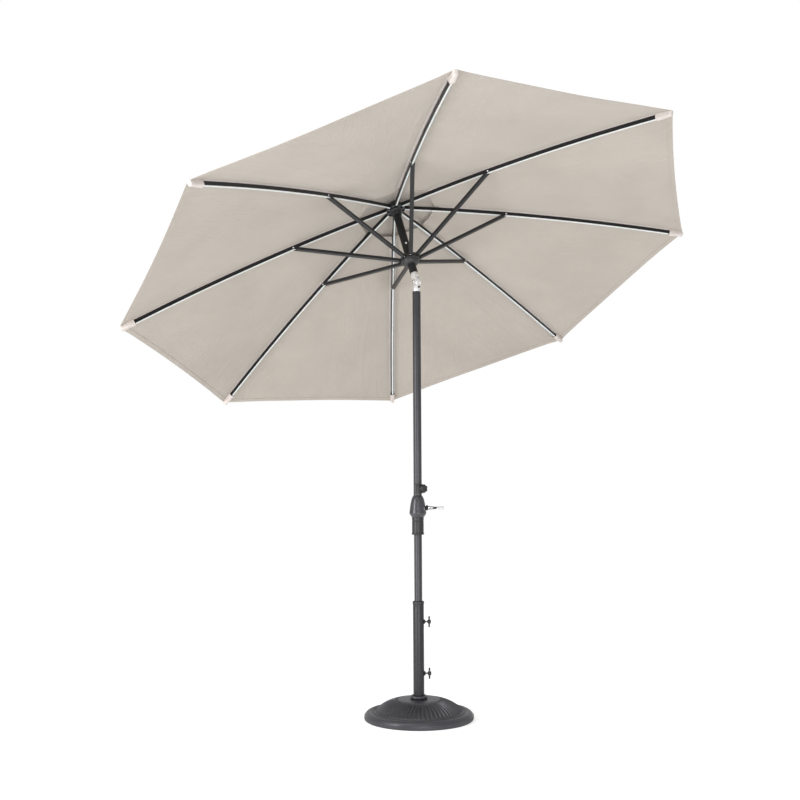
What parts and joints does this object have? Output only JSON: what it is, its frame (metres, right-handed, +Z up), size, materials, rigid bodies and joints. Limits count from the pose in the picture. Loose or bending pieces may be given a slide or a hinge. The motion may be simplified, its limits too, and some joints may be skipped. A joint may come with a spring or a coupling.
{
  "type": "patio umbrella with base",
  "caption": "Octagonal crank umbrella, open and tilted, with lit ribs, a vent cap and a push-button tilt, on a round fluted cast base with wing knobs.",
  "frame": {"origin": "middle of the base's underside, on the floor", "axes": "+Z up along the mast, +X towards the side of the crank and the wing knobs, the canopy leans towards +Y and a little -X"},
  "size_m": [2.6616, 2.5824, 2.5487],
  "materials": {
    "cast_iron": "satin",
    "tube_paint": "satin",
    "pole_paint": "satin",
    "rib_paint": "satin",
    "housing_plastic": "satin",
    "black_plastic": "matte",
    "chrome_steel": "polished",
    "polished_alloy": "polished",
    "grip_plastic": "satin",
    "canopy_cloth": "matte",
    "panel_glass": "gloss"
  },
  "bodies": {
    "stand": {"base_casting": "cast_iron", "base_collar": "cast_iron", "base_tube": "tube_paint", "tube_bush": "black_plastic"},
    "lower_knob": {"lower_wing_knob": "black_plastic", "lower_knob_screw": "chrome_steel"},
    "upper_knob": {"upper_wing_knob": "black_plastic", "upper_knob_screw": "chrome_steel"},
    "mast": {"pole_foot_plug": "black_plastic", "lower_pole": "pole_paint", "crank_housing": "housing_plastic", "housing_collar": "housing_plastic", "upper_pole": "pole_paint", "clamp_saddle": "black_plastic", "crank_bearing": "black_plastic", "lower_knuckle": "polished_alloy", "tilt_rivet": "polished_alloy"},
    "clamp": {"clamp_knob": "black_plastic", "clamp_stud": "chrome_steel"},
    "crank": {"crank_shaft": "chrome_steel", "cord_spool": "black_plastic", "crank_boss": "black_plastic", "crank_arm": "chrome_steel"},
    "grip": {"crank_grip": "grip_plastic"},
    "button": {"tilt_button": "black_plastic"},
    "head": {"upper_knuckle": "polished_alloy", "canopy_pole": "pole_paint", "cord_eyelet": "polished_alloy", "top_hub": "black_plastic", "hub_ring": "chrome_steel", "vent_cap": "canopy_cloth", "power_cap": "black_plastic", "solar_panel": "panel_glass"},
    "pulley": {"cord_pulley": "black_plastic"},
    "slider": {"runner": "black_plastic", "runner_ring": "chrome_steel"},
    "rib_1_arm": {"rib_1": "rib_paint", "gore_1": "canopy_cloth"},
    "strut_1_arm": {"strut_1": "rib_paint"},
    "rib_2_arm": {"rib_2": "rib_paint", "gore_2": "canopy_cloth"},
    "strut_2_arm": {"strut_2": "rib_paint"},
    "rib_3_arm": {"rib_3": "rib_paint", "gore_3": "canopy_cloth"},
    "strut_3_arm": {"strut_3": "rib_paint"},
    "rib_4_arm": {"rib_4": "rib_paint", "gore_4": "canopy_cloth"},
    "strut_4_arm": {"strut_4": "rib_paint"},
    "rib_5_arm": {"rib_5": "rib_paint", "gore_5": "canopy_cloth"},
    "strut_5_arm": {"strut_5": "rib_paint"},
    "rib_6_arm": {"rib_6": "rib_paint", "gore_6": "canopy_cloth"},
    "strut_6_arm": {"strut_6": "rib_paint"},
    "rib_7_arm": {"rib_7": "rib_paint", "gore_7": "canopy_cloth"},
    "strut_7_arm": {"strut_7": "rib_paint"},
    "rib_8_arm": {"rib_8": "rib_paint", "gore_8": "canopy_cloth"},
    "strut_8_arm": {"strut_8": "rib_paint"}
  },
  "joints": [
    {"name": "mast_turn", "type": "hinge", "parent": "stand", "child": "mast", "pos_m": [0, 0, 0], "axis": [0, 0, 1], "continuous": true},
    {"name": "lower_knob_turn", "type": "hinge", "parent": "stand", "child": "lower_knob", "pos_m": [0.04, 0, 0.202], "axis": [1, 0, 0], "range_deg": [-360, 0]},
    {"name": "upper_knob_turn", "type": "hinge", "parent": "stand", "child": "upper_knob", "pos_m": [0.04, 0, 0.433], "axis": [1, 0, 0], "range_deg": [-360, 0]},
    {"name": "clamp_knob_turn", "type": "hinge", "parent": "mast", "child": "clamp", "pos_m": [0.02121, -0.02121, 1.038], "axis": [0.7071, -0.7071, 0], "range_deg": [-360, 0]},
    {"name": "canopy_tilt", "type": "hinge", "parent": "mast", "child": "head", "pos_m": [0, 0, 2.013], "axis": [-0.788, -0.6157, 0], "range_deg": [-22.8, 12]},
    {"name": "tilt_button_press", "type": "slide", "parent": "mast", "child": "button", "axis": [-0.6157, 0.788, 0], "range_m": [0, 0.004], "stiffness_N_per_m": 500, "springref_m": -0.002},
    {"name": "runner_slide", "type": "slide", "parent": "head", "child": "slider", "axis": [-0.2386, 0.3054, 0.9219], "range_m": [-0.06, 0]},
    {"name": "crank_turn", "type": "hinge", "parent": "mast", "child": "crank", "pos_m": [0, 0, 0.95], "axis": [1, 0, 0], "range_deg": [-410, 0]},
    {"name": "grip_spin", "type": "hinge", "parent": "crank", "child": "grip", "pos_m": [0.1, -0.072, 0.95], "axis": [1, 0, 0], "continuous": true},
    {"name": "pulley_turn", "type": "hinge", "parent": "head", "child": "pulley", "pos_m": [-0.08517, 0.10902, 2.34211], "axis": [0.0379, 0.9515, -0.3054], "range_deg": [-410, 0]},
    {"name": "rib_1_hinge", "type": "hinge", "parent": "head", "child": "rib_1_arm", "pos_m": [-0.05888, 0.1342, 2.40565], "axis": [-0.0908, 0.9381, -0.3342], "range_deg": [0, 4.07]},
    {"name": "strut_1_hinge", "type": "hinge", "parent": "slider", "child": "strut_1_arm", "pos_m": [0.01103, 0.04473, 2.13555], "axis": [-0.0908, 0.9381, -0.3342], "range_deg": [-3.44, 0]},
    {"name": "rib_2_hinge", "type": "hinge", "parent": "head", "child": "rib_2_arm", "pos_m": [-0.07347, 0.16005, 2.39331], "axis": [-0.7479, 0.5478, -0.375], "range_deg": [0, 4.07]},
    {"name": "strut_2_hinge", "type": "hinge", "parent": "slider", "child": "strut_2_arm", "pos_m": [-0.00357, 0.07058, 2.12321], "axis": [-0.7479, 0.5478, -0.375], "range_deg": [-3.44, 0]},
    {"name": "rib_3_hinge", "type": "hinge", "parent": "head", "child": "rib_3_arm", "pos_m": [-0.1033, 0.16674, 2.38338], "axis": [-0.9669, -0.1634, -0.1961], "range_deg": [0, 4.07]},
    {"name": "strut_3_hinge", "type": "hinge", "parent": "slider", "child": "strut_3_arm", "pos_m": [-0.0334, 0.07727, 2.11327], "axis": [-0.9669, -0.1634, -0.1961], "range_deg": [-3.44, 0]},
    {"name": "rib_4_hinge", "type": "hinge", "parent": "head", "child": "rib_4_arm", "pos_m": [-0.1309, 0.15035, 2.38167], "axis": [-0.6195, -0.7789, 0.0977], "range_deg": [0, 4.07]},
    {"name": "strut_4_hinge", "type": "hinge", "parent": "slider", "child": "strut_4_arm", "pos_m": [-0.06099, 0.06087, 2.11156], "axis": [-0.6195, -0.7789, 0.0977], "range_deg": [-3.44, 0]},
    {"name": "rib_5_hinge", "type": "hinge", "parent": "head", "child": "rib_5_arm", "pos_m": [-0.1401, 0.12047, 2.38918], "axis": [0.0908, -0.9381, 0.3342], "range_deg": [0, 4.07]},
    {"name": "strut_5_hinge", "type": "hinge", "parent": "slider", "child": "strut_5_arm", "pos_m": [-0.07019, 0.031, 2.11908], "axis": [0.0908, -0.9381, 0.3342], "range_deg": [-3.44, 0]},
    {"name": "rib_6_hinge", "type": "hinge", "parent": "head", "child": "rib_6_arm", "pos_m": [-0.12551, 0.09462, 2.40152], "axis": [0.7479, -0.5478, 0.375], "range_deg": [0, 4.07]},
    {"name": "strut_6_hinge", "type": "hinge", "parent": "slider", "child": "strut_6_arm", "pos_m": [-0.0556, 0.00515, 2.13141], "axis": [0.7479, -0.5478, 0.375], "range_deg": [-3.44, 0]},
    {"name": "rib_7_hinge", "type": "hinge", "parent": "head", "child": "rib_7_arm", "pos_m": [-0.09567, 0.08794, 2.41146], "axis": [0.9669, 0.1634, 0.1961], "range_deg": [0, 4.07]},
    {"name": "strut_7_hinge", "type": "hinge", "parent": "slider", "child": "strut_7_arm", "pos_m": [-0.02577, -0.00153, 2.14135], "axis": [0.9669, 0.1634, 0.1961], "range_deg": [-3.44, 0]},
    {"name": "rib_8_hinge", "type": "hinge", "parent": "head", "child": "rib_8_arm", "pos_m": [-0.06808, 0.10433, 2.41317], "axis": [0.6195, 0.7789, -0.0977], "range_deg": [0, 4.07]},
    {"name": "strut_8_hinge", "type": "hinge", "parent": "slider", "child": "strut_8_arm", "pos_m": [0.00183, 0.01486, 2.14306], "axis": [0.6195, 0.7789, -0.0977], "range_deg": [-3.44, 0]}
  ],
  "couplings": [
    {"joint": "crank_turn", "follows": "runner_slide", "rad_per_m": 117.65},
    {"joint": "pulley_turn", "follows": "runner_slide", "rad_per_m": 117.65},
    {"joint": "rib_1_hinge", "follows": "runner_slide", "rad_per_m": -1.1252},
    {"joint": "strut_1_hinge", "follows": "runner_slide", "rad_per_m": 0.94148},
    {"joint": "rib_2_hinge", "follows": "runner_slide", "rad_per_m": -1.1252},
    {"joint": "strut_2_hinge", "follows": "runner_slide", "rad_per_m": 0.94148},
    {"joint": "rib_3_hinge", "follows": "runner_slide", "rad_per_m": -1.1252},
    {"joint": "strut_3_hinge", "follows": "runner_slide", "rad_per_m": 0.94148},
    {"joint": "rib_4_hinge", "follows": "runner_slide", "rad_per_m": -1.1252},
    {"joint": "strut_4_hinge", "follows": "runner_slide", "rad_per_m": 0.94148},
    {"joint": "rib_5_hinge", "follows": "runner_slide", "rad_per_m": -1.1252},
    {"joint": "strut_5_hinge", "follows": "runner_slide", "rad_per_m": 0.94148},
    {"joint": "rib_6_hinge", "follows": "runner_slide", "rad_per_m": -1.1252},
    {"joint": "strut_6_hinge", "follows": "runner_slide", "rad_per_m": 0.94148},
    {"joint": "rib_7_hinge", "follows": "runner_slide", "rad_per_m": -1.1252},
    {"joint": "strut_7_hinge", "follows": "runner_slide", "rad_per_m": 0.94148},
    {"joint": "rib_8_hinge", "follows": "runner_slide", "rad_per_m": -1.1252},
    {"joint": "strut_8_hinge", "follows": "runner_slide", "rad_per_m": 0.94148}
  ]
}
